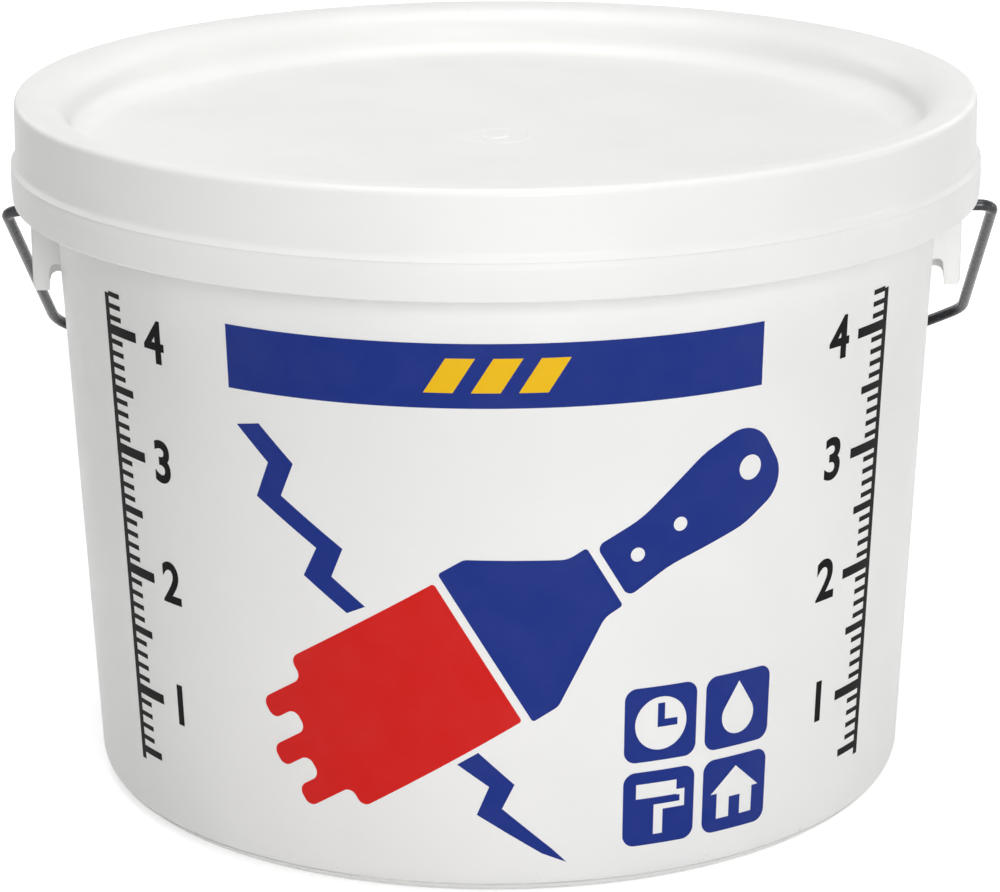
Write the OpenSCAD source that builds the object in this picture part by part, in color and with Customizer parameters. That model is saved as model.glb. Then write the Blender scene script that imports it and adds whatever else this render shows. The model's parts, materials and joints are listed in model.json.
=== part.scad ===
// A five litre plastic tub of ready mixed wall filler, with a press-on lid and a wire bail.
// Millimetres, +Z up, origin on the ground at the centre of the foot, front towards -Y.

/* [Tub] */
// Outer diameter of the wall, carried straight down to the ground
foot_d = 201.6; // [185:0.2:210]
// Outer diameter of the wall at the lower edge of the collar
wall_d = 215.8; // [206:0.2:224]
// Height of the tub to the top of its rim
tub_h = 169.7; // [150:0.1:200]
// Thickness of the wall, rim and collar
wall = 1.6; // [1.2:0.1:2.2]
// Thickness of the floor
floor_t = 2.2; // [1.6:0.1:4]
// Radius of the rounded corner at the foot
corner_r = 6.2; // [4:0.1:9]
// Radius of the corner inside, between floor and wall
inner_r = 5; // [3:0.1:9]
// Step at the fine line that runs round the corner
line_step = 0.4; // [0.2:0.05:0.8]
// Where that line lies, as an angle down round the corner
line_angle = 20; // [10:1:45]
// Width of the ring that the tub stands on
foot_w = 6; // [4:0.5:14]
// Height of the hollow under the floor
foot_hollow = 1.6; // [1:0.1:3]

/* [Rim and collar] */
// How far the rolled rim stands out from the wall
rim_w = 6; // [5:0.1:8]
// Depth of the rim, from its top to the shoulder of the collar
rim_h = 14.6; // [12:0.1:20]
// How far the collar stands out from the rim
collar_out = 3; // [2:0.1:5]
// Depth of the apron that hangs from the shoulder
apron_h = 8.8; // [6:0.1:14]
// Draft of the apron, in from the shoulder to its lower edge
apron_draft = 0.4; // [0:0.05:1]

/* [Lid] */
// Thickness of the lid
lid_wall = 1.5; // [1:0.1:2.2]
// Gap between the lid's skirt and the rim
skirt_gap = 0.5; // [0.3:0.05:1]
// Gap between the lid's lower edge and the collar
seam = 0.2; // [0.1:0.05:0.6]
// How far the bead along the lower edge stands out
bead_out = 1.05; // [0.5:0.05:1.6]
// Radius of that bead
bead_r = 1.2; // [0.8:0.05:1.6]
// Height over which the skirt flares out to the bead
flare_h = 3.4; // [2.6:0.1:6]
// Radius of the outer corner at the top
top_r = 3.2; // [2:0.1:5]
// Radius of the inner corner at the top
lip_r = 2; // [1:0.1:3]
// Depth of the recessed panel below the top of the lid
panel_drop = 10.7; // [8:0.1:13]
// Radius where the recess runs into the panel
panel_r = 3; // [1.5:0.1:5]
// Lean of the recess wall, from upright
plug_lean = 15; // [5:1:25]
// Gap between the recess wall and the mouth of the tub
plug_gap = 0.35; // [0.3:0.05:0.8]
// Diameter of the moulding gate's mark in the middle of the panel
gate_d = 5; // [3:0.5:10]
// Height of that mark
gate_h = 0.4; // [0.2:0.1:1]

/* [Ears for the bail] */
// Width of an ear
ear_w = 11; // [9:0.5:20]
// Reach of an ear below the apron
ear_h = 24.8; // [20:0.1:34]
// Radius of its lower corners
ear_corner_r = 2.5; // [1:0.1:4]
// Thickness of an ear
ear_t = 2.8; // [2:0.1:3.4]
// Space between an ear and the wall, at the pivot
ear_stand = 3.8; // [3.2:0.1:4.6]
// Thickness of the two webs that tie an ear to the wall
web_t = 1.6; // [1.2:0.1:2]
// Distance between the webs, from middle to middle
web_span = 8; // [7.5:0.1:9]
// Reach of the webs below the apron
web_h = 19; // [12:0.1:24]

/* [Bail] */
// Diameter of the wire
wire_d = 2.2; // [1.6:0.1:3]
// Clearance all round the wire in an ear's hole
pivot_play = 0.08; // [0.05:0.01:0.1]
// Height of the pivot below the apron
pivot_drop = 6.3; // [4:0.1:9]
// Space between a leg and the lid or collar beside it
leg_gap = 2.5; // [1:0.1:4]
// Bend from pin to leg, radius at the wire's centre
pin_bend_r = 3.4; // [2.5:0.1:5]
// Length of the straight leg, from the pivot to the bend
leg_l = 66; // [50:0.5:76]
// Bend from leg to bow, radius at the wire's centre
bow_bend_r = 10; // [6:0.5:20]
// Swelling of the wire where that bend runs into the bow
bend_swell = 0.03; // [0.02:0.01:0.1]
// Reach of the bow past the wall that it hangs over, in the bail's own plane
bow_reach = 21; // [17:0.5:42]
// Diameter of the upset head on a pin's end
head_d = 3.8; // [3.2:0.1:5]
// Thickness of that head
head_t = 1; // [0.6:0.1:1.2]
// Space between that head and the ear
head_gap = 0.5; // [0.3:0.05:0.8]
// Gap between the hanging bow and the wall
rest_gap = 0.3; // [0.2:0.05:1]

/* [Filler] */
// Depth of the filler's surface below the rim
headspace = 18.7; // [16:0.1:80]
// Gap between the filler and the wall
fill_gap = 0.15; // [0.1:0.05:0.4]

/* [Hidden] */
$fn = 96;

// Heights
collar_z = tub_h - rim_h;
apron_z = collar_z - apron_h;
pivot_z = apron_z - pivot_drop;
floor_z = foot_hollow + floor_t;
fill_z = tub_h - headspace;
lid_z = tub_h + lid_wall;
panel_z = lid_z - panel_drop;
lid_low_z = collar_z + seam;

// Lean of the wall, and the wall's outer and inner radius at a height
wall_slope = (wall_d - foot_d) / 2 / apron_z;
wall_lean = atan(wall_slope);
function wall_radius(z) = foot_d / 2 + wall_slope * z;
function bore_radius(z) = wall_radius(z) - wall / cos(wall_lean);

// Radii of the rim, the collar and the lid that closes over them
rim_radius = wall_radius(tub_h) + rim_w;
collar_radius = rim_radius + collar_out;
skirt_in = rim_radius + skirt_gap;
skirt_radius = skirt_in + lid_wall;
bead_radius = skirt_radius + bead_out;

// Outer and inner radius of the recess wall of the lid at a height
function plug_radius(z) = bore_radius(tub_h) - plug_gap - (tub_h - z) * tan(plug_lean);
function recess_radius(z) = plug_radius(z) - lid_wall / cos(plug_lean);

// Points along an arc in the section plane
function arc(centre, r, from, to, steps = 8) =
    [for (i = [0:steps]) let (a = from + (to - from) * i / steps) centre + r * [cos(a), sin(a)]];

// Angle at which a line from a point touches a circle, on the circle's right
function touch_angle(point, centre, r) = let (d = point - centre) atan2(d[1], d[0]) - acos(r / norm(d));

// The corners at the foot, outside and inside, touch the leaning wall
corner_out = corner_r + line_step;
corner_centre = [wall_radius(corner_r) - corner_out / cos(wall_lean), corner_r];
inner_z = floor_z + inner_r;
inner_centre = [bore_radius(inner_z) - inner_r / cos(wall_lean), inner_z];

// An ear is a flat plate square to the pivot line
ear_x = wall_radius(pivot_z) + ear_stand;
ear_top_z = tub_h - wall;
ear_low_z = apron_z - ear_h;
web_angle = asin(web_span / 2 / ear_x);

// The bail lies in one plane: x across, y its reach from the pivot line
wire_r = wire_d / 2;
leg_x = max(bead_radius, collar_radius) + leg_gap + wire_r;
pin_l = leg_x - pin_bend_r - ear_x + head_gap + head_t / 2;
hang_reach = wall_radius(pivot_z) + (wire_r + rest_gap) / cos(wall_lean);
bow_y = hang_reach + bow_reach;
bow_turn = 90 - 2 * atan((bow_y - leg_l - bow_bend_r) / (leg_x - bow_bend_r));
bow_r = bow_bend_r + (leg_x - bow_bend_r) / cos(bow_turn);

// It hangs behind the tub, turned back from straight down until its bow meets the wall
hang_angle = asin(hang_reach * cos(wall_lean) / bow_y) - wall_lean;

// The moulded tub with its two ears
module tub() {
    color("whitesmoke") difference() {
        union() {
            rotate_extrude() polygon(tub_section());
            for (side = [0, 180]) rotate(side) ear();
        }
        for (side = [0, 180]) rotate(side) ear_hole();
    }
}

// Half section of floor, wall, rolled rim, collar, corner and foot
function tub_section() = concat(
    [[0, floor_z]],
    arc(inner_centre, inner_r, -90, -wall_lean),
    [[bore_radius(tub_h), tub_h],
     [rim_radius, tub_h],
     [rim_radius, collar_z],
     [collar_radius, collar_z],
     [collar_radius - apron_draft, apron_z],
     [collar_radius - apron_draft - wall, apron_z],
     [collar_radius - wall, collar_z - wall],
     [rim_radius - wall, collar_z - wall],
     [rim_radius - wall, tub_h - wall],
     [wall_radius(tub_h - wall), tub_h - wall]],
    arc(corner_centre, corner_out, -wall_lean, -line_angle, steps = 3),
    arc(corner_centre, corner_r, -line_angle, -90),
    [[corner_centre[0] - foot_w, 0],
     [corner_centre[0] - foot_w, foot_hollow],
     [0, foot_hollow]]);

// Plate that carries a pin of the bail, with two webs back to the wall
module ear() {
    translate([ear_x, 0, 0]) rotate([90, 0, 90]) linear_extrude(ear_t) polygon(ear_outline());
    for (side = [-1, 1]) rotate(side * web_angle) rotate([90, 0, 0])
        linear_extrude(web_t, center = true) polygon(web_outline());
}

// A tab with rounded lower corners
function ear_outline() = let (
        corner_y = ear_w / 2 - ear_corner_r,
        corner_z = ear_low_z + ear_corner_r)
    concat(
        [[ear_w / 2, ear_top_z]],
        arc([corner_y, corner_z], ear_corner_r, 0, -90),
        arc([-corner_y, corner_z], ear_corner_r, -90, -180),
        [[-ear_w / 2, ear_top_z]]);

// From half way through the wall to half way through the ear
function web_outline() = let (
        low_z = apron_z - web_h,
        outer = (ear_x + ear_t / 2) / cos(web_angle))
    [[wall_radius(low_z) - wall / 2, low_z],
     [outer, low_z],
     [outer, ear_top_z],
     [wall_radius(ear_top_z) - wall / 2, ear_top_z]];

// Round hole through an ear, for the bail's pin
module ear_hole() {
    translate([ear_x - head_gap, 0, pivot_z]) rotate([0, 90, 0])
        cylinder(h = ear_t + 2 * head_gap, r = wire_r + pivot_play);
}

// The paste that fills the tub, face to face with the floor
module filler() {
    color("ivory") rotate_extrude() polygon(concat(
        [[0, floor_z], [inner_centre[0], floor_z]],
        arc(inner_centre, inner_r - fill_gap, -90, -wall_lean),
        [[bore_radius(fill_z) - fill_gap, fill_z], [0, fill_z]]));
}

// The lid: a skirt over the rim, a flat top on it, and a recessed panel inside the mouth
module lid() {
    color("white") rotate_extrude() polygon(lid_section());
}

function lid_section() = let (
        bead_centre = [bead_radius - bead_r, lid_low_z + bead_r],
        flare_top = [skirt_radius, lid_low_z + flare_h],
        top_centre = [skirt_radius - top_r, lid_z - top_r],
        lip_z = lid_z - lip_r,
        lip_centre = [recess_radius(lip_z) + lip_r / cos(plug_lean), lip_z],
        cove_z = panel_z + panel_r,
        cove_centre = [recess_radius(cove_z) - panel_r / cos(plug_lean), cove_z])
    concat(
        [[0, panel_z - lid_wall]],
        arc(cove_centre, panel_r + lid_wall, -90, -plug_lean),
        [[plug_radius(tub_h), tub_h], [skirt_in, tub_h], [skirt_in, lid_low_z]],
        arc(bead_centre, bead_r, -90, touch_angle(flare_top, bead_centre, bead_r)),
        [flare_top],
        arc(top_centre, top_r, 0, 90),
        arc(lip_centre, lip_r, 90, 180 - plug_lean),
        arc(cove_centre, panel_r, -plug_lean, -90),
        [[gate_d / 2, panel_z], [gate_d / 2, panel_z + gate_h], [0, panel_z + gate_h]]);

// The wire bail, hanging down behind the tub
module bail() {
    color("silver") translate([0, 0, pivot_z]) rotate([hang_angle - 90, 0, 0]) {
        bail_side();
        mirror([1, 0, 0]) bail_side();
        translate([0, bow_y - bow_r, 0])
            wire_bend(bow_r, bow_turn, 180 - 2 * bow_turn);
    }
}

// One pin with its head, the bend out to the leg, the leg, and the bend in to the bow
module bail_side() {
    translate([leg_x, 0, 0]) {
        translate([-pin_bend_r, 0, 0]) rotate([0, -90, 0]) {
            cylinder(h = pin_l, r = wire_r);
            translate([0, 0, pin_l - head_t / 2]) cylinder(h = head_t, d = head_d);
        }
        translate([-pin_bend_r, pin_bend_r, 0]) wire_bend(pin_bend_r, -90, 90);
        translate([0, pin_bend_r, 0]) rotate([-90, 0, 0])
            cylinder(h = leg_l - pin_bend_r, r = wire_r);
        translate([-bow_bend_r, leg_l, 0]) {
            wire_bend(bow_bend_r, 0, bow_turn);
            rotate(bow_turn) translate([bow_bend_r, 0, 0]) sphere(r = wire_r + bend_swell);
        }
    }
}

// Wire bent round a centre, from one angle through another
module wire_bend(bend_r, from, turn) {
    rotate(from) rotate_extrude(angle = turn) translate([bend_r, 0]) circle(r = wire_r);
}

tub();
filler();
lid();
bail();
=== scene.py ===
# A five litre tub of ready mixed wall filler, with a press-on lid and a wire bail.
# Sizes are in millimetres, with +Z up and the front towards -Y. Each mesh is turned to metres as it is made.
import json
import math

import bmesh
import bpy
from mathutils import Matrix, Vector


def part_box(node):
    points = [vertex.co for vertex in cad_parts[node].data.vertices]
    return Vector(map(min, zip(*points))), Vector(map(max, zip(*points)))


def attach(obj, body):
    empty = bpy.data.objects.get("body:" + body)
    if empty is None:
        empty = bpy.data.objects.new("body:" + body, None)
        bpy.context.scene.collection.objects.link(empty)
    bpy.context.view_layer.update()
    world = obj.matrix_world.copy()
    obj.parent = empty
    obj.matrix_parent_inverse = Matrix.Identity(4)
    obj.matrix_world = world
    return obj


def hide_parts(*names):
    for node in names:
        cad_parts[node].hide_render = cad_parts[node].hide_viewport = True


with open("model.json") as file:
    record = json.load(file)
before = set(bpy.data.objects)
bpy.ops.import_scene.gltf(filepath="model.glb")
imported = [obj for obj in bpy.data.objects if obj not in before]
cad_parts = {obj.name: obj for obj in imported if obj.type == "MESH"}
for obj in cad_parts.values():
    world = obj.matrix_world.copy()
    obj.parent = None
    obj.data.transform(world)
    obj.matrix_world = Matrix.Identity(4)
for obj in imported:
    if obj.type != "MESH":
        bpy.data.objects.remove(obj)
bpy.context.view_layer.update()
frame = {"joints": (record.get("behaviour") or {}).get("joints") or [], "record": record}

# Tub
# One injection moulding in white polypropylene: a floor on a standing ring, a tapered wall, and a rolled rim
# with a collar whose apron hangs clear of the wall. The mould parts at a fine groove round the foot.
MM = 0.001
FINE_TURN = math.radians(6)
FINE_STEP = 2.0


def box_mm(node):
    return [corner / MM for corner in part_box(node)]


tub_top = box_mm("tub")[1]
rim_z = tub_top.z
collar_r = tub_top.y
collar_z = 155.1
collar_edge_r = 0.06
apron_z = 146.3
apron_bulge = 0.16
apron_r = collar_r + apron_bulge
apron_high_z, apron_high_fillet = 153.6, 3.0
apron_mid_z, apron_mid_fillet = 150.5, 5.0
apron_draft = 0.25
rim_out = 3.0
rim_r = collar_r - rim_out
lip_r = 3.0
edge_r = 0.6
wall_t = 1.6
ground_wall_r = 100.8
apron_wall_r = 107.9
wall_slope = (apron_wall_r - ground_wall_r) / apron_z
wall_lean = math.atan(wall_slope)
floor_z = box_mm("filler")[0].z
floor_t = 2.2
floor_corner_r = 5.0
foot_z = floor_z - floor_t
foot_w = 6.0
corner_r = 6.4
groove_angle = math.radians(-30)
groove_turn = math.radians(-5)
groove_d = 0.4
gate_r = 3.0
gate_h = 0.6


def wall_radius(z):
    return ground_wall_r + wall_slope * z


def bore_radius(z):
    return wall_radius(z) - wall_t / math.cos(wall_lean)


def arc(centre, radius, start, turn):
    """Points along an arc, with one at least every few degrees and every few millimetres."""
    steps = max(1, math.ceil(abs(turn) / min(FINE_TURN, FINE_STEP / radius)))
    angles = [start + turn * k / steps for k in range(steps + 1)]
    return [Vector((centre[0] + radius * math.cos(a), centre[1] + radius * math.sin(a))) for a in angles]


def rounded(corners):
    """Closed outline through corners of (x, y, fillet radius)."""
    outline = []
    befores, afters = corners[-1:] + corners[:-1], corners[1:] + corners[:1]
    for before, (x, y, radius), after in zip(befores, corners, afters):
        corner = Vector((x, y))
        if radius == 0:
            outline.append(corner)
            continue
        back = (Vector(before[:2]) - corner).normalized()
        ahead = (Vector(after[:2]) - corner).normalized()
        half = back.angle(ahead) / 2
        centre = corner + (back + ahead).normalized() * radius / math.sin(half)
        spoke = corner + back * radius / math.tan(half) - centre
        turn = math.copysign(math.pi - 2 * half, back.y * ahead.x - back.x * ahead.y)
        outline += arc(centre, radius, math.atan2(spoke.y, spoke.x), turn)
    return outline


def lathe(outline, segments=360):
    """Surface of an outline of (radius, z) turned round the z axis."""
    points, rings, faces = [], [], []
    for radius, z in outline:
        count = segments if radius > 0 else 1
        rings.append([len(points) + k for k in range(count)])
        for k in range(count):
            angle = 2 * math.pi * k / segments
            points.append((radius * math.cos(angle), radius * math.sin(angle), z))
    for low, high in zip(rings, rings[1:]):
        for k in range(segments):
            sides = (low, k), (low, k + 1), (high, k + 1), (high, k)
            faces.append(list(dict.fromkeys(ring[place % len(ring)] for ring, place in sides)))
    return points, faces


def slab(outline, thickness, soft, place):
    """Plate of an outline, its long edges softened, put in place by a matrix."""
    work = bmesh.new()
    face = work.faces.new([work.verts.new((x, y, 0)) for x, y in outline])
    made = bmesh.ops.extrude_face_region(work, geom=[face])["geom"]
    far = [part for part in made if isinstance(part, bmesh.types.BMVert)]
    bmesh.ops.translate(work, vec=(0, 0, thickness), verts=far)
    flat = [f for f in work.faces if len(f.verts) == len(outline)]
    edges = {edge for f in flat for edge in f.edges}
    bmesh.ops.bevel(work, geom=list(edges), offset=soft, segments=3, profile=0.5, affect="EDGES")
    work.verts.index_update()
    points = [place @ v.co for v in work.verts]
    faces = [[v.index for v in f.verts] for f in work.faces]
    work.free()
    return points, faces


def new_piece(name, points, faces):
    """A closed mesh from points in millimetres, with its faces turned outwards."""
    mesh = bpy.data.meshes.new(name)
    mesh.from_pydata([Vector(p) * MM for p in points], [], faces)
    work = bmesh.new()
    work.from_mesh(mesh)
    bmesh.ops.recalc_face_normals(work, faces=work.faces)
    work.to_mesh(mesh)
    work.free()
    piece = bpy.data.objects.new(name, mesh)
    bpy.context.scene.collection.objects.link(piece)
    return piece


def combine(piece, solid, operation):
    """Adds or cuts away a closed solid, which is used up."""
    change = piece.modifiers.new("combine", "BOOLEAN")
    change.solver = "MANIFOLD"
    change.operation = operation
    change.object = solid
    shapes = bpy.context.evaluated_depsgraph_get()
    piece.data = bpy.data.meshes.new_from_object(piece.evaluated_get(shapes))
    piece.modifiers.clear()
    bpy.data.objects.remove(solid)


def shade(piece, material, sharp=math.radians(32)):
    """Smooth shading with creases kept, and the piece's one material."""
    piece.data.shade_smooth()
    piece.data.set_sharp_from_angle(angle=sharp)
    piece.data.materials.clear()
    piece.data.materials.append(material)


corner_x = wall_radius(corner_r) - corner_r / math.cos(wall_lean)
corner_end = groove_angle + groove_turn
groove_z = corner_r * (1 + math.sin(groove_angle + groove_turn / 2))
foot_in = corner_x - foot_w
tub_rim = rounded([
    (0, floor_z, 0),
    (bore_radius(floor_z), floor_z, floor_corner_r),
    (bore_radius(rim_z), rim_z, lip_r),
    (rim_r, rim_z, edge_r),
    (rim_r, collar_z, edge_r),
    (collar_r, collar_z, collar_edge_r),
    (apron_r, apron_high_z, apron_high_fillet),
    (apron_r, apron_mid_z, apron_mid_fillet),
    (apron_r - apron_draft, apron_z, edge_r),
    (apron_r - apron_draft - wall_t, apron_z, edge_r),
    (collar_r - wall_t, collar_z - wall_t, edge_r),
    (rim_r - wall_t, collar_z - wall_t, edge_r),
    (rim_r - wall_t, rim_z - wall_t, edge_r),
    (wall_radius(rim_z - wall_t), rim_z - wall_t, edge_r),
    (wall_radius(corner_r), corner_r, 0),
])
tub_corner = arc((corner_x, corner_r), corner_r, -wall_lean, groove_angle + wall_lean)
tub_corner += arc((corner_x, corner_r), corner_r - groove_d, groove_angle, groove_turn)
tub_corner += arc((corner_x, corner_r), corner_r, corner_end, -math.pi / 2 - corner_end)
tub_foot = [
    (foot_in, 0), (foot_in, foot_z), (gate_r, foot_z), (gate_r, foot_z - gate_h), (0, foot_z - gate_h),
]
tub = new_piece("tub_moulding", *lathe(tub_rim[:-1] + tub_corner + tub_foot))

# Ears
# Two narrow tabs of the same moulding, one at each end of the bail's pivot line. Each hangs from the rim,
# clear of the wall, with a web along its front edge and a deeper one along its back edge. A hole in it takes
# a pin of the bail.
pivot = Vector(frame["joints"][0]["pos_m"]) / MM
ear_w = 11.0
ear_t = 2.8
ear_stand = 3.8
ear_x = wall_radius(pivot.z) + ear_stand
ear_low_z = 121.1
ear_top_z = rim_z - wall_t
ear_corner_r = 2.5
ear_soft = 0.5
web_t = 1.6
web_proud = 0.05
web_soft = 0.35
web_taper = 0.5
front_web = 127.7, 4.3
back_web = 123.6, 3.0
web_angle = math.asin((ear_w / 2 + web_proud - web_t / 2) / ear_x)
wire_r = 1.4
pin_play = 0.08
drill_over = 1.0
drill_soft = 0.01


def web_outline(arch_z, leg_w):
    """Web from the wall to the ear's outer face, with an arch up to a height between the wall and its leg."""
    web_out = ear_x + ear_t
    leg_in = web_out - leg_w
    arch_r = (leg_in - wall_radius(arch_z)) / 2
    spring_z = arch_z - arch_r
    outline = [(wall_radius(spring_z) - wall_t / 2, spring_z), (wall_radius(spring_z), spring_z)]
    outline += arc((leg_in - arch_r, spring_z), arch_r, math.pi, -math.pi)[1:]
    outline += [(leg_in + web_taper, ear_low_z), (web_out - web_taper, ear_low_z)]
    outline += [(web_out, ear_low_z + ear_corner_r), (web_out, ear_top_z)]
    return outline + [(wall_radius(ear_top_z) - wall_t / 2, ear_top_z)]


ear_outline = rounded([
    (ear_w / 2, ear_top_z, 0), (-ear_w / 2, ear_top_z, 0),
    (-ear_w / 2, ear_low_z, ear_corner_r), (ear_w / 2, ear_low_z, ear_corner_r),
])
hole_outline = arc((0, pivot.z), wire_r + pin_play, 0, 2 * math.pi)[:-1]
upright = Matrix(((0, 0, 1, ear_x), (1, 0, 0, 0), (0, 1, 0, 0), (0, 0, 0, 1)))
edgewise = Matrix(((1, 0, 0, 0), (0, 0, -1, web_t / 2), (0, 1, 0, 0), (0, 0, 0, 1)))
for side, front in ((0, -1), (math.pi, 1)):
    around = Matrix.Rotation(side, 4, "Z")
    combine(tub, new_piece("ear_tab", *slab(ear_outline, ear_t, ear_soft, around @ upright)), "UNION")
    for turn, web in ((front * web_angle, front_web), (-front * web_angle, back_web)):
        swung = around @ Matrix.Rotation(turn, 4, "Z") @ edgewise
        combine(tub, new_piece("ear_web", *slab(web_outline(*web), web_t, web_soft, swung)), "UNION")
    hole = slab(hole_outline, ear_t + 2 * drill_over, drill_soft, around @ upright)
    drill = new_piece("ear_hole", *hole)
    drill.data.transform(Matrix.Translation(around @ Vector((-drill_over * MM, 0, 0))))
    combine(tub, drill, "DIFFERENCE")


def linear(colour):
    """An sRGB hex colour as linear red, green, blue and alpha."""
    shares = [int(colour[k:k + 2], 16) / 255 for k in (1, 3, 5)]
    return [c / 12.92 if c <= 0.04045 else ((c + 0.055) / 1.055) ** 2.4 for c in shares] + [1]


def add_node(owner, kind, inputs, stops=(), **settings):
    """Adds a node with its settings. An input is a value, or the socket that it is linked from."""
    node = owner.node_tree.nodes.new("ShaderNode" + kind)
    for name, value in settings.items():
        setattr(node, name, value)
    for k, (place, colour) in enumerate(stops):
        stop = node.color_ramp.elements[k] if k < 2 else node.color_ramp.elements.new(place)
        stop.position = place
        stop.color = linear(colour)
    for name, value in inputs.items():
        if isinstance(value, bpy.types.NodeSocket):
            owner.node_tree.links.new(value, node.inputs[name])
        else:
            node.inputs[name].default_value = value
    return node


def new_material(name):
    material = bpy.data.materials.new(name)
    material.use_nodes = True
    material.node_tree.nodes.clear()
    return material


def moulded_polypropylene(name, scuff_z, scuffs, painted_shade_z, painted_shade):
    """White polypropylene from a fine spark-eroded mould: satin, with slow changes of tone and gloss.

    Small grey scuffs from sliding on shelves, as strong as asked, lie within a few millimetres of the height
    scuff_z. A thin grey line round the second height given is painted shade, standing in for the shadow in a
    groove there. The mould's grain is really about a tenth of a millimetre, and is drawn coarser so that it
    shows."""
    tone_size, gloss_size, grain_size, scuff_size = 45 * MM, 7 * MM, 0.9 * MM, 2.2 * MM
    scuff_reach, painted_shade_reach = 3.5 * MM, 0.3 * MM
    plastic = new_material(name)
    place = add_node(plastic, "TexCoord", {}).outputs["Object"]
    tone = add_node(plastic, "TexNoise", {"Vector": place, "Scale": 1 / tone_size, "Detail": 2.0})
    white = add_node(plastic, "ValToRGB", {"Fac": tone.outputs["Fac"]}, [
        (0.35, "#eeeeec"), (0.65, "#f2f2f0")])
    height = add_node(plastic, "SeparateXYZ", {"Vector": place}).outputs["Z"]
    near = add_node(plastic, "Math", {0: height, 1: scuff_z * MM, 2: scuff_reach}, operation="COMPARE")
    specks = add_node(plastic, "TexNoise", {
        "Vector": place, "Scale": 1 / scuff_size, "Detail": 3.0, "Roughness": 0.7})
    rubbed = add_node(plastic, "MapRange", {
        "Value": specks.outputs["Fac"], "From Min": 0.64, "From Max": 0.76, "To Max": scuffs})
    scuffed = add_node(plastic, "Math", {0: near.outputs[0], 1: rubbed.outputs[0]}, operation="MULTIPLY")
    # Painted shade: a thin grey line round the second height, darkening a groove as its shadow would.
    in_line = add_node(plastic, "Math", {0: height, 1: painted_shade_z * MM, 2: painted_shade_reach}, operation="COMPARE")
    shade_tone = add_node(plastic, "MapRange", {"Value": tone.outputs["Fac"], "From Min": 0.3, "To Max": painted_shade})
    shaded_line = add_node(plastic, "Math", {0: in_line.outputs[0], 1: shade_tone.outputs[0]}, operation="MULTIPLY")
    scuffs_and_shade = add_node(plastic, "Math", {0: scuffed.outputs[0], 1: shaded_line.outputs[0]}, operation="MAXIMUM")
    colour = add_node(plastic, "Mix", {
        0: scuffs_and_shade.outputs[0], 6: white.outputs["Color"], 7: linear("#8f8d88")}, data_type="RGBA")
    gloss = add_node(plastic, "TexNoise", {"Vector": place, "Scale": 1 / gloss_size, "Detail": 4.0})
    roughness = add_node(plastic, "MapRange", {
        "Value": gloss.outputs["Fac"], "From Min": 0.3, "From Max": 0.7, "To Min": 0.36, "To Max": 0.46})
    grain = add_node(plastic, "TexNoise", {"Vector": place, "Scale": 1 / grain_size, "Detail": 2.0})
    skin = add_node(plastic, "Bump", {
        "Height": grain.outputs["Fac"], "Strength": 0.12, "Distance": 0.05 * MM})
    shader = add_node(plastic, "BsdfPrincipled", {
        "Base Color": colour.outputs[2], "Roughness": roughness.outputs[0], "Normal": skin.outputs[0],
        "IOR": 1.49})
    add_node(plastic, "OutputMaterial", {"Surface": shader.outputs[0]})
    return plastic


# The tub's line of painted shade lies in the groove round its foot, where the groove's shadow would fall.
shade(tub, moulded_polypropylene(
    "polypropylene_tub", scuff_z=foot_z, scuffs=0.6, painted_shade_z=groove_z, painted_shade=0.55))
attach(tub, "tub")
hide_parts("tub")

# Print
# Screen printed straight on the wall in four inks, with no label: a band, a filling knife that draws a
# stroke over a crack, four signs, and a litre scale at each side. Each ink is a film a few hundredths of a
# millimetre thick.
label_r = 105.5
ink_proud = 0.05
ink_sunk = 0.05
strip_w = 1.5
weld = 0.01
weld_goes = 2
cut_snap = 1e-5


def fill(outlines):
    """Flat curve of closed outlines, where an outline inside another is a hole."""
    shape = bpy.data.curves.new("fill", "CURVE")
    shape.dimensions = "2D"
    shape.fill_mode = "BOTH"
    for outline in outlines:
        loop = shape.splines.new("POLY")
        loop.points.add(len(outline) - 1)
        for point, (u, v) in zip(loop.points, outline):
            point.co = u, v, 0, 1
        loop.use_cyclic_u = True
    return shape


def on_wall(u, v, out):
    """The place on the wall at u millimetres round from the front and v above the ground."""
    radius = wall_radius(v) + out
    angle = u / label_r
    return Vector((radius * math.sin(angle), -radius * math.cos(angle), v))


def ink_film(name, shapes, material):
    """Wraps flat shapes round the wall as a thin closed film, cut into strips that follow its curve.

    Filling leaves faces without area where corners lie in line, and some of them take a second go."""
    work = bmesh.new()
    for shape in shapes:
        holder = bpy.data.objects.new("flat", shape)
        flat = bpy.data.meshes.new_from_object(holder)
        work.from_mesh(flat)
        bpy.data.objects.remove(holder)
        bpy.data.meshes.remove(flat)
    bmesh.ops.remove_doubles(work, verts=work.verts, dist=weld)
    for go in range(weld_goes):
        bmesh.ops.dissolve_degenerate(work, edges=work.edges, dist=weld)
    ends = [v.co.x for v in work.verts]
    for k in range(math.ceil(min(ends) / strip_w), math.floor(max(ends) / strip_w) + 1):
        parts = work.verts[:] + work.edges[:] + work.faces[:]
        cut = (k * strip_w, 0, 0)
        bmesh.ops.bisect_plane(work, geom=parts, plane_co=cut, plane_no=(1, 0, 0), dist=cut_snap)
    work.verts.index_update()
    count = len(work.verts)
    points = [on_wall(v.co.x, v.co.y, out) for out in (-ink_sunk, ink_proud) for v in work.verts]
    under = [[v.index for v in f.verts] for f in work.faces]
    top = [[k + count for k in face] for face in under]
    borders = [[v.index for v in edge.verts] for edge in work.edges if edge.is_boundary]
    sides = [[a, b, b + count, a + count] for a, b in borders]
    work.free()
    film = new_piece(name, points, under + top + sides)
    shade(film, material)
    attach(film, "tub")


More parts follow.
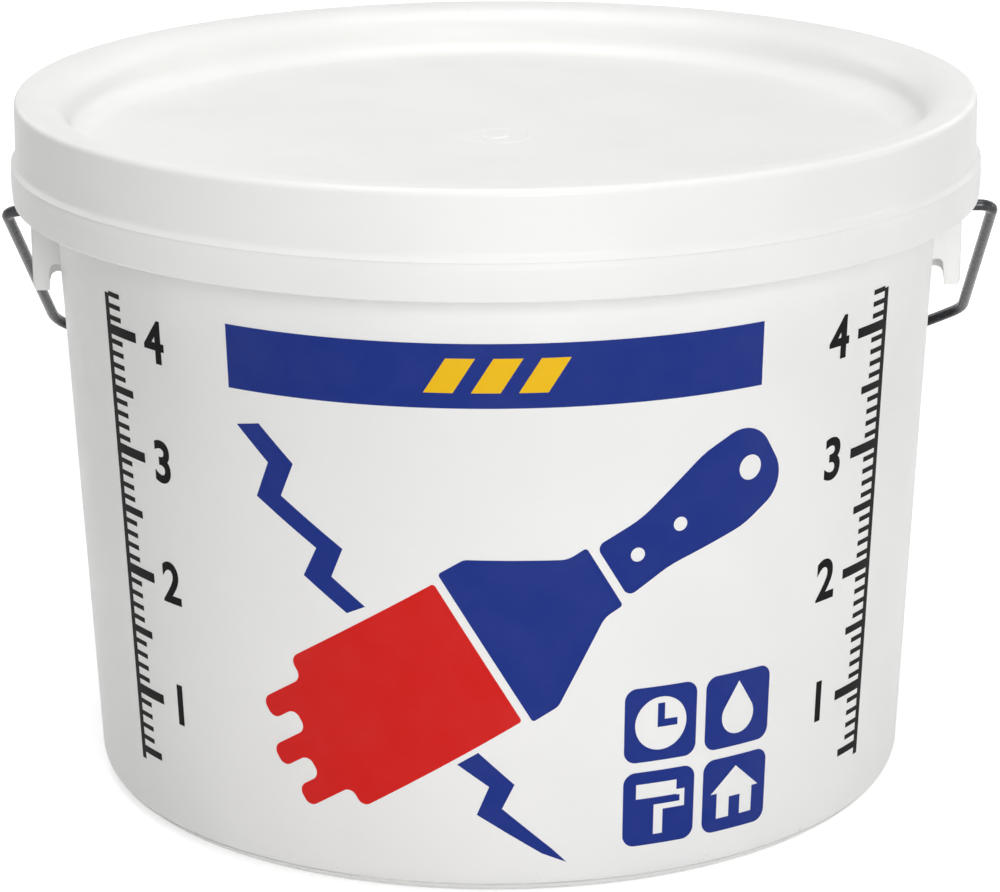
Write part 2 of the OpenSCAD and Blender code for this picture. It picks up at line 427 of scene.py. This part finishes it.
def screen_ink(name, colour, sheen):
    """Matt solvent ink: an even, deep colour with a faint mottle where the film is thinner, and a soft sheen.

    The sheen is the refractive index of its surface, where pigment leaves little of the binder's own. The
    print screen's weave is really finer than a fifth of a millimetre, and is drawn coarser to show."""
    mottle_size, mesh_size = 9 * MM, 0.8 * MM
    ink = new_material(name)
    place = add_node(ink, "TexCoord", {}).outputs["Object"]
    mottle = add_node(ink, "TexNoise", {"Vector": place, "Scale": 1 / mottle_size, "Detail": 3.0})
    thin = add_node(ink, "MapRange", {
        "Value": mottle.outputs["Fac"], "From Min": 0.4, "From Max": 0.8, "To Max": 0.008})
    tint = add_node(ink, "Mix", {
        0: thin.outputs[0], 6: linear(colour), 7: linear("#ffffff")}, data_type="RGBA")
    weave = add_node(ink, "TexNoise", {"Vector": place, "Scale": 1 / mesh_size, "Detail": 1.0})
    surface = add_node(ink, "Bump", {
        "Height": weave.outputs["Fac"], "Strength": 0.1, "Distance": 0.03 * MM})
    roughness = add_node(ink, "MapRange", {
        "Value": mottle.outputs["Fac"], "From Min": 0.3, "From Max": 0.7, "To Min": 0.42, "To Max": 0.48})
    shader = add_node(ink, "BsdfPrincipled", {
        "Base Color": tint.outputs[2], "Roughness": roughness.outputs[0], "Normal": surface.outputs[0],
        "IOR": sheen})
    add_node(ink, "OutputMaterial", {"Surface": shader.outputs[0]})
    return ink


def circle(u, v, radius):
    return arc((u, v), radius, 0, 2 * math.pi)[:-1]


def block(left, low, right, high, radius=0):
    return rounded([(left, low, radius), (right, low, radius), (right, high, radius), (left, high, radius)])


def placed(outline, at, turn=0):
    """An outline turned and moved to its place on the label."""
    turned = Matrix.Rotation(turn, 2)
    return [turned @ Vector(point) + Vector(at) for point in outline]


def mirrored(half):
    """Corners of a shape that is the same on both sides of its u axis, from those of its upper side."""
    return half + [(u, -v, radius) for u, v, radius in reversed(half)]


# The band, with three slanted bars left open in it for a second ink.
band_left, band_right, band_low, band_high = -63.7, 62.6, 119.4, 134.4
bar_low, bar_high, bar_w, bar_slant, bar_pitch = 123.0, 131.0, 6.5, 5.0, 10.5
bars = [
    [(u, bar_low), (u + bar_w, bar_low), (u + bar_w + bar_slant, bar_high), (u + bar_slant, bar_high)]
    for u in (bar_pitch * k - (bar_w + bar_slant) / 2 for k in (-1, 0, 1))
]
band = [block(band_left, band_low, band_right, band_high)] + bars

# The knife, drawn along its own axis from the blade's edge to the end of the handle.
knife_at, knife_turn = (-3, 62), math.radians(31)
tip_r = 0.8
blade = rounded(mirrored([(0, 21, tip_r), (7, 21, 3), (27, 8.5, 6), (32, 8.5, tip_r)]))
handle = rounded(mirrored([(34, 7.5, 2), (46, 7, 25), (66, 11, 20), (81, 10, 8)]))
rivets = [circle(41, 0, 1.7), circle(53, 0, 1.7)]
hanging_hole = circle(74, 0, 3)
knife = [
    [placed(part, knife_at, knife_turn) for part in group]
    for group in ([blade], [handle] + rivets + [hanging_hole])
]

# The stroke of filler behind it, whose start breaks up into streaks.
stroke_half, stroke_gap, streak_r = 19.5, 2.0, 2.2
streaks = [44, 57, 50, 61, 53, 60, 47]
streak_w = 2 * stroke_half / len(streaks)
stroke = [(-stroke_gap, stroke_half, tip_r)]
for k, length in enumerate(streaks):
    stroke += [(-length, stroke_half - (k + side) * streak_w, streak_r) for side in (0, 1)]
stroke += [(-stroke_gap, -stroke_half, tip_r)]
stroke = placed(rounded(stroke), knife_at, knife_turn)

# The crack, open above the stroke and below it.
crack_above = [
    (-62, 111), (-56, 112), (-47.5, 103.5), (-51, 95.5), (-36, 84.5), (-39, 77.5), (-31, 71),
    (-35.5, 69), (-46, 77), (-42.5, 84), (-57.5, 94.5), (-54, 103),
]
crack_below = [
    (-5, 36.5), (3.5, 28.5), (0.5, 22.5), (12.5, 12), (16, 8.5),
    (10, 11), (-5.5, 21), (-2.5, 28), (-10, 33.5),
]

# Four signs: clock, drop, roller and house, each cut out of a square.
sign_w, sign_r = 18.5, 3.0
sign_square = block(-sign_w / 2, -sign_w / 2, sign_w / 2, sign_w / 2, sign_r)
clock = circle(0, 0, 6.6)
clock_hands = [(-0.9, -0.9), (4.2, -0.9), (4.2, 0.9), (0.9, 0.9), (0.9, 5), (-0.9, 5)]
drop = arc((0, -1.6), 4.6, math.radians(150), math.radians(240)) + [(0, 7)]
roller = [
    (-6, 2.5), (4.5, 2.5), (4.5, 2.3), (5.4, 2.3), (5.4, 0.7), (-1.4, 0.7), (-1.4, -6.8),
    (1, -6.8), (1, -0.7), (6.7, -0.7), (6.7, 3.7), (4.5, 3.7), (4.5, 6.2), (-6, 6.2),
]
house = [
    (-5.2, -6), (-1.6, -6), (-1.6, -1), (1.6, -1), (1.6, -6), (5.2, -6),
    (5.2, 0.4), (7, 0.4), (0, 6.6), (-7, 0.4), (-5.2, 0.4),
]
sign_places = {
    (39, 41): [clock, clock_hands],
    (60, 41): [drop],
    (39, 20): [roller],
    (60, 20): [house],
}
signs = [[placed(outline, at) for outline in [sign_square] + cut_out] for at, cut_out in sign_places.items()]

# The litre scales, whose heights come from the volume of the tub. A tick's length and thickness go by how
# many tenths of a litre it stands for.
scale_u, spine_w, scale_low, scale_high = 106.0, 1.8, 17.0, 134.0
scale_tenths = range(5, 44)
tick_sizes = {10: (11.0, 2.4), 5: (8.0, 1.8), 1: (5.0, 1.2)}
whole_litre = max(tick_sizes)
litre_mm3 = 1e6
digit_size, digit_bold, digit_gap = 14.0, 0.35, 7.0


def litre_height(litres):
    """Height at which the tub holds so many litres, from the cone of its bore."""
    low_r = bore_radius(floor_z)
    cube = low_r ** 3 + litres * litre_mm3 * 3 * wall_slope / math.pi
    return floor_z + (cube ** (1 / 3) - low_r) / wall_slope


# The font's own 4 closes up when it is made bold, so its outline and its eye are drawn here.
four = [
    (0.35, -4.55), (2.42, -4.55), (2.42, -1.41), (3.44, -1.41), (3.44, 0.52), (2.42, 0.52), (2.42, 5.82),
    (1.32, 5.82), (-3.7, -0.31), (-3.7, -1.41), (0.35, -1.41),
]
four_eye = [(-0.78, 0.52), (0.35, 0.52), (0.35, 1.92)]


def digit(number, u, v):
    """A plain bold figure with its middle at a place on the label."""
    if number == 4:
        return fill([placed(four, (u, v)), placed(four_eye, (u, v))])
    shape = bpy.data.curves.new("digit", "FONT")
    shape.body = str(number)
    shape.size = digit_size
    shape.offset = digit_bold
    shape.align_x = "CENTER"
    shape.align_y = "CENTER"
    shape.offset_x = u
    shape.offset_y = v
    return shape


scales = []
for side in (-1, 1):
    inner, outer = side * (scale_u - spine_w / 2), side * (scale_u + spine_w / 2)
    comb = [(inner, scale_low), (outer, scale_low), (outer, scale_high), (inner, scale_high)]
    for tenth in reversed(scale_tenths):
        step = max(step for step in tick_sizes if tenth % step == 0)
        tick_l, tick_t = tick_sizes[step]
        tip = inner - side * tick_l
        v = litre_height(tenth / whole_litre)
        high, low = v + tick_t / 2, v - tick_t / 2
        comb += [(inner, high), (tip, high), (tip, low), (inner, low)]
        if step == whole_litre:
            scales.append(digit(tenth // whole_litre, tip - side * digit_gap, v))
    scales.append(fill([comb]))

blue_shapes = [band] + knife + signs + [[crack_above], [crack_below]]
ink_film("print_blue", [fill(shape) for shape in blue_shapes], screen_ink("ink_blue", "#0d2a80", sheen=1.27))
ink_film("print_red", [fill([stroke])], screen_ink("ink_red", "#d2140e", sheen=1.27))
ink_film("print_yellow", [fill([bar]) for bar in bars], screen_ink("ink_yellow", "#f2bf10", sheen=1.27))
ink_film("print_black", scales, screen_ink("ink_black", "#0a0a09", sheen=1.12))

# Filler
# About 4.9 litres of lightweight ready mixed paste. A nozzle that circles inwards fills the tub, so the paste
# lies in soft spiral folds; it clings to the floor and the wall.
fill_z = box_mm("filler")[1].z
fill_gap = 0.15
fill_edge = bore_radius(fill_z) - fill_gap
fold_h, fold_pitch, fold_sharp = 2.4, 23.0, 0.8
dip_h, dip_waves, dip_twist = 0.5, 2, 0.03
sways = [(0.35, 3, 0.05), (0.2, 5, -0.08)]
top_rings = 90


def fold_depth(x, y):
    """How far the top lies below its highest folds.

    Each sway has its size, its waves round the tub, and how far these twist for each millimetre outwards."""
    radius, angle = math.hypot(x, y), math.atan2(y, x)
    sway = sum(size * math.sin(waves * angle + twist * radius) for size, waves, twist in sways)
    phase = 2 * math.pi * radius / fold_pitch - angle + sway
    fold = 1 - abs(math.sin(phase / 2)) ** fold_sharp
    dip = 1 + math.sin(dip_waves * angle + dip_twist * radius)
    flat = min(1, radius / fold_pitch)
    return fold_h * fold * flat + dip_h * dip * flat


filler_side = rounded([
    (0, floor_z, 0),
    (bore_radius(floor_z) - fill_gap, floor_z, floor_corner_r),
    (fill_edge, fill_z, 0),
])
filler_top = [(fill_edge * (1 - k / top_rings), fill_z) for k in range(1, top_rings)] + [(0, fill_z)]
points, faces = lathe(filler_side + filler_top, segments=240)
points = [(x, y, z - fold_depth(x, y)) if z == fill_z else (x, y, z) for x, y, z in points]
paste = new_piece("filler_paste", points, faces)

# Hollow glass beads in an acrylic binder: an ivory paste that looks dry, with fine bubbles all through it.
ivory_size, bubble_size = 20 * MM, 1.4 * MM
filler_paste = new_material("lightweight_filler")
place = add_node(filler_paste, "TexCoord", {}).outputs["Object"]
shades = add_node(filler_paste, "TexNoise", {"Vector": place, "Scale": 1 / ivory_size, "Detail": 3.0})
ivory = add_node(filler_paste, "ValToRGB", {"Fac": shades.outputs["Fac"]}, [
    (0.3, "#ebe8df"), (0.7, "#f3f1ea")])
bubbles = add_node(filler_paste, "TexNoise", {
    "Vector": place, "Scale": 1 / bubble_size, "Detail": 5.0, "Roughness": 0.6})
crumb = add_node(filler_paste, "Bump", {
    "Height": bubbles.outputs["Fac"], "Strength": 0.35, "Distance": 0.3 * MM})
shader = add_node(filler_paste, "BsdfPrincipled", {
    "Base Color": ivory.outputs["Color"], "Roughness": 0.75, "Normal": crumb.outputs[0]})
add_node(filler_paste, "OutputMaterial", {"Surface": shader.outputs[0]})
shade(paste, filler_paste, sharp=math.radians(60))
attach(paste, "tub")
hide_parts("filler")

# Lid
# A second moulding in white polypropylene, pressed over the rim: a skirt whose lower edge flares out over the
# collar, a rounded shoulder, and a panel that is sunk into the mouth of the tub and sags a little. The gate
# left a small disc and a ring in the panel's middle.
lid_top = box_mm("lid")[1]
lid_z = lid_top.z
lid_t = 1.5
seam = 0.03
lid_low_z = collar_z + seam
skirt_r = 117.0
skirt_draft = 0.25
skirt_in = skirt_r - lid_t
skirt_edge_r, seat_r, crown_r = 0.2, 0.4, 1.8
flare_r = lid_top.y
flare_h = 1.5
flare_fillet = 2.0
nose_h = 0.12
nose_edge_r = 0.05
plug_lean = math.tan(math.radians(15))
plug_gap = 0.35
plug_fillet = 4.5
shoulder_fillet = 8.0
panel_z = 159.2
panel_sag = 1.2
panel_fillet = 6.0
mark_slope = 0.4
ring_out, ring_in, ring_h, ring_foot_r, ring_edge_r = 9.0, 7.4, 0.2, 0.5, 0.4
disc_r, disc_h, disc_foot_r, disc_edge_r = 3.2, 0.35, 0.4, 0.3


def plug_radius(z):
    return bore_radius(rim_z) - plug_gap - (rim_z - z) * plug_lean


def recess_radius(z):
    return plug_radius(z) - lid_t * math.hypot(1, plug_lean)


def panel_height(radius):
    """Height of the panel's top, which sags a little towards its middle."""
    return panel_z - panel_sag * (1 - radius / recess_radius(panel_z))


ring_z = panel_height(ring_out) + ring_h
disc_z = panel_height(disc_r) + disc_h
lid_outline = rounded([
    (0, panel_height(0) - lid_t, 0),
    (plug_radius(panel_z - lid_t), panel_z - lid_t, plug_fillet),
    (plug_radius(rim_z), rim_z, lip_r),
    (skirt_in, rim_z, seat_r),
    (skirt_in, lid_low_z, skirt_edge_r),
    (flare_r, lid_low_z, nose_edge_r),
    (flare_r, lid_low_z + nose_h, nose_edge_r),
    (skirt_r, lid_low_z + flare_h, flare_fillet),
    (skirt_r - skirt_draft, lid_z, crown_r),
    (recess_radius(lid_z), lid_z, shoulder_fillet),
    (recess_radius(panel_z), panel_z, panel_fillet),
    (ring_out, panel_height(ring_out), ring_foot_r),
    (ring_out - mark_slope, ring_z, ring_edge_r),
    (ring_in + mark_slope, ring_z, ring_edge_r),
    (ring_in, panel_height(ring_in), ring_foot_r),
    (disc_r, panel_height(disc_r), disc_foot_r),
    (disc_r - mark_slope, disc_z, disc_edge_r),
    (0, disc_z, 0),
])
lid = new_piece("lid_moulding", *lathe(lid_outline))
shade(lid, moulded_polypropylene(
    "polypropylene_lid", scuff_z=lid_z, scuffs=0.04, painted_shade_z=lid_low_z, painted_shade=0))
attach(lid, "lid")
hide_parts("lid")

# Bail
# One length of galvanised steel wire, bent by machine: two pins with upset heads inside the ears, two
# straight legs, and a bow that hangs against the back of the tub. The bow's middle is where a hand takes it.
bail_top = box_mm("bail")[1]
bow_mid = Vector(next(m["pos_m"] for m in frame["record"]["mounts"] if m["name"] == "bail_bow")) / MM
hang = (bow_mid - pivot).normalized()
leg_x = bail_top.x - wire_r
head_r, head_t, head_gap = 1.9, 1.0, 0.5
head_chamfer, head_chamfer_l, head_neck_l = 0.3, 0.25, 0.2
head_x = ear_x - head_gap - head_t
wire_sides = 28

# Corners of (x, distance down the hanging bail, bend radius). Use has bent its two sides a little unequally.
pin_bend_r = 3.4
right_bend = leg_x + 1.1, 0, pin_bend_r
right_elbow = leg_x + 1.3, 69.5, 10
bow = 7.7, 214, 152.5
left_elbow = 4.3 - leg_x, 75, 16
left_bend = 0.4 - leg_x, 0, pin_bend_r
wire_line = rounded([
    (head_x, 0, 0), right_bend, right_elbow, bow, left_elbow, left_bend, (-head_x, 0, 0),
])
upset = [
    (0, head_r - head_chamfer), (head_chamfer_l, head_r), (head_t - head_neck_l, head_r), (head_t, wire_r),
]
line = [Vector((head_x + along, 0)) for along, radius in upset] + wire_line[1:-1]
line += [Vector((-head_x - along, 0)) for along, radius in reversed(upset)]
head_radii = [radius for along, radius in upset]
radii = head_radii + [wire_r] * (len(line) - 2 * len(upset)) + head_radii[::-1]


def swept(path, thickness, sides):
    """Closed tube along a path, with a thickness at each point."""
    points, faces = [], []
    across = Vector((0, 0, 1)).cross(path[1] - path[0]).normalized()
    for k, (middle, radius) in enumerate(zip(path, thickness)):
        along = (path[min(k + 1, len(path) - 1)] - path[max(k - 1, 0)]).normalized()
        across = (across - along * across.dot(along)).normalized()
        other = along.cross(across)
        for step in range(sides):
            angle = 2 * math.pi * step / sides
            points.append(middle + (across * math.cos(angle) + other * math.sin(angle)) * radius)
    for k in range(len(path) - 1):
        for step in range(sides):
            a, b = k * sides + step, k * sides + (step + 1) % sides
            faces.append([a, b, b + sides, a + sides])
    faces.append(list(range(sides)))
    faces.append(list(range(len(points) - sides, len(points))))
    return points, faces


wire_path = [pivot + Vector((x, 0, 0)) + hang * reach for x, reach in line]
bail = new_piece("bail_wire", *swept(wire_path, radii, wire_sides))

# Galvanised drawn wire: dark grey zinc, dull, with light running along it. Its spangle and the die's streaks
# are drawn coarser than they are, so that they show.
spangle_size, streak_size = 0.9 * MM, 0.7 * MM
galvanised = new_material("galvanised_steel_wire")
place = add_node(galvanised, "TexCoord", {}).outputs["Object"]
spangle = add_node(galvanised, "TexVoronoi", {"Vector": place, "Scale": 1 / spangle_size})
zinc = add_node(galvanised, "ValToRGB", {"Fac": spangle.outputs["Color"]}, [
    (0.2, "#3c3d3f"), (0.8, "#454648")])
streak = add_node(galvanised, "TexNoise", {"Vector": place, "Scale": 1 / streak_size, "Detail": 4.0})
dull = add_node(galvanised, "MapRange", {
    "Value": streak.outputs["Fac"], "From Min": 0.3, "From Max": 0.7, "To Min": 0.2, "To Max": 0.32})
drawn = add_node(galvanised, "Bump", {
    "Height": streak.outputs["Fac"], "Strength": 0.15, "Distance": 0.05 * MM})
shader = add_node(galvanised, "BsdfPrincipled", {
    "Base Color": zinc.outputs["Color"], "Metallic": 1.0, "Roughness": dull.outputs[0],
    "Normal": drawn.outputs[0]})
add_node(galvanised, "OutputMaterial", {"Surface": shader.outputs[0]})
shade(bail, galvanised, sharp=math.radians(40))
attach(bail, "bail")
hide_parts("bail")

# Floor and light
# A white sweep of paper under soft studio light: a wide box overhead, one low in front, weaker ones on the
# right and behind, and a faint glow from pale walls. The paper shows as white, and darkens where the tub
# shades it. It lies a hair below the tub's foot, so that the two don't share a plane.
floor_half = 6000.0
paper_z = -0.05
floor_corners = [
    (side * floor_half, end * floor_half, paper_z)
    for side, end in ((-1, -1), (1, -1), (1, 1), (-1, 1))
]
sweep = new_piece("paper_sweep", floor_corners, [[0, 1, 2, 3]])


def seen_directly(owner):
    """One for rays that show the background: from the camera, off gloss, or through a clear thing."""
    ray = add_node(owner, "LightPath", {}).outputs
    shown = add_node(owner, "Math", {
        0: ray["Is Camera Ray"], 1: ray["Is Glossy Ray"]}, operation="MAXIMUM")
    return add_node(owner, "Math", {
        0: shown.outputs[0], 1: ray["Is Transmission Ray"]}, operation="MAXIMUM").outputs[0]


# Matt white paper, which needs less help to look white near the tub, where the softboxes light it well.
near_tub, far_off = 300 * MM, 1200 * MM
near_glow, far_glow = 0.54, 1.0
paper = new_material("white_paper")
matt = add_node(paper, "BsdfDiffuse", {"Color": linear("#f6f6f6")})
place = add_node(paper, "TexCoord", {}).outputs["Object"]
away = add_node(paper, "VectorMath", {0: place}, operation="LENGTH")
white = add_node(paper, "MapRange", {
    "Value": away.outputs["Value"], "From Min": near_tub, "From Max": far_off,
    "To Min": near_glow, "To Max": far_glow})
glow = add_node(paper, "Math", {0: seen_directly(paper), 1: white.outputs[0]}, operation="MULTIPLY")
lit = add_node(paper, "Emission", {"Color": linear("#ffffff"), "Strength": glow.outputs[0]})
both = add_node(paper, "AddShader", {0: matt.outputs[0], 1: lit.outputs[0]})
add_node(paper, "OutputMaterial", {"Surface": both.outputs[0]})
sweep.data.materials.append(paper)

wall_glow, shown_glow = 0.06, 1.0
room = bpy.data.worlds.new("studio")
room.use_nodes = True
room.node_tree.nodes.clear()
walls = add_node(room, "MapRange", {"Value": seen_directly(room), "To Min": wall_glow, "To Max": shown_glow})
air = add_node(room, "Background", {"Color": linear("#ffffff"), "Strength": walls.outputs[0]})
add_node(room, "OutputWorld", {"Surface": air.outputs[0]})
bpy.context.scene.world = room

# Each softbox has its stand, its width and height, and its power in watts.
softboxes = {
    "front": ((251, -1420, 503), (700, 700), 10.8),
    "right": ((1476, 129, 325), (400, 400), 2.2),
    "overhead": ((-60, -120, 1480), (1000, 900), 13.6),
    "back_right": ((894, 1065, 652), (700, 700), 2.2),
    "back_left": ((-894, 1065, 652), (700, 700), 2.2),
}
tub_middle = Vector((0, 0, 90))
for name, (stand, (width, height), power) in softboxes.items():
    lamp = bpy.data.lights.new(name, "AREA")
    lamp.shape = "RECTANGLE"
    lamp.size = width * MM
    lamp.size_y = height * MM
    lamp.energy = power
    softbox = bpy.data.objects.new(name, lamp)
    softbox.location = Vector(stand) * MM
    softbox.rotation_euler = (tub_middle - Vector(stand)).to_track_quat("-Z", "Y").to_euler()
    bpy.context.scene.collection.objects.link(softbox)

# Camera
# A long lens about 0.9 m in front of the tub and above it, looking down and tilted a little, as the
# photograph was taken. Its focal length and place were fitted to the rings of the lid, collar and foot.
image_w = 1000
focal_px = 3743.72
camera_at = Vector((0.55, -899.98, 349.84))
camera_pitch = 0.2926
camera_roll = -0.0062
sensor_w = 36.0

lens = bpy.data.cameras.new("camera")
lens.sensor_fit = "HORIZONTAL"
lens.sensor_width = sensor_w
lens.lens = focal_px / image_w * sensor_w
camera = bpy.data.objects.new("camera", lens)
tilt = Matrix.Rotation(math.pi / 2 - camera_pitch, 4, "X") @ Matrix.Rotation(camera_roll, 4, "Z")
camera.matrix_world = Matrix.Translation(camera_at * MM) @ tilt
bpy.context.scene.collection.objects.link(camera)
bpy.context.scene.camera = camera
bpy.context.scene.view_settings.view_transform = "Standard"
